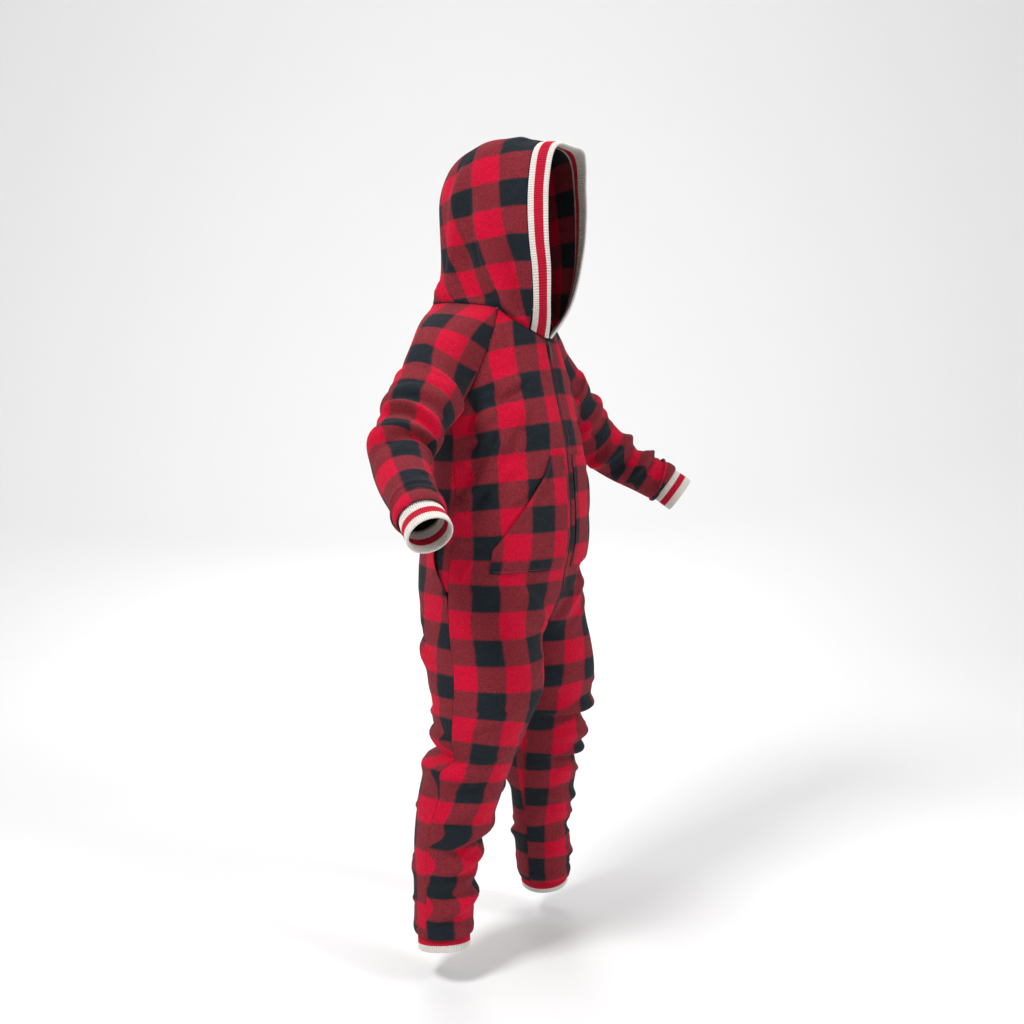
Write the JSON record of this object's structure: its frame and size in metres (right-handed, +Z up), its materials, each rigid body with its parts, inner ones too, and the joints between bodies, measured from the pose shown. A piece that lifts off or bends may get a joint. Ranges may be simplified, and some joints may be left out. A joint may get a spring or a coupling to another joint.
{
  "type": "onesie pajama",
  "caption": "Hooded one-piece fleece pajama in a red and black check with a front zip, split pocket, buttoned drop seat and striped rib trims, in its worn shape.",
  "frame": {"origin": "on the centre plane between the shoulders, 1.1 m above the ankle hems, where the wearer's shoulders carry the garment", "axes": "+Z up, -Y the way the wearer faces, +X the wearer's left"},
  "size_m": [0.899, 0.3216, 1.4179],
  "materials": {
    "check_fleece": "brushed fleece with a soft short nap, woven-look check printed in red and black",
    "striped_rib": "knitted rib with cream and red stripes",
    "zip_chain": "black zip chain and its woven tape",
    "zip_metal": "black enamelled zip slider and pull",
    "buttons": "black four-hole buttons"
  },
  "bodies": {
    "garment": {"front_right": "check_fleece", "front_left": "check_fleece", "seat_leg_right": "check_fleece", "seat_leg_left": "check_fleece", "back_yoke": "check_fleece", "sleeve_right": "check_fleece", "sleeve_left": "check_fleece", "hood_right": "check_fleece", "hood_left": "check_fleece", "hood_band": "striped_rib", "wrist_cuff_right": "striped_rib", "wrist_cuff_left": "striped_rib", "ankle_cuff_right": "striped_rib", "ankle_cuff_left": "striped_rib", "pocket_right": "check_fleece", "pocket_left": "check_fleece", "zip_tape": "zip_chain", "zip_slider": "zip_metal", "seat_button_right": "buttons", "seat_button_left": "buttons"},
    "pull": {"zip_pull": "zip_metal"}
  },
  "joints": [
    {"name": "zip_pull_swing", "type": "hinge", "parent": "garment", "child": "pull", "pos_m": [0, -0.1133, -0.03999], "axis": [1, 0, 0], "range_deg": [-150, 0]}
  ]
}
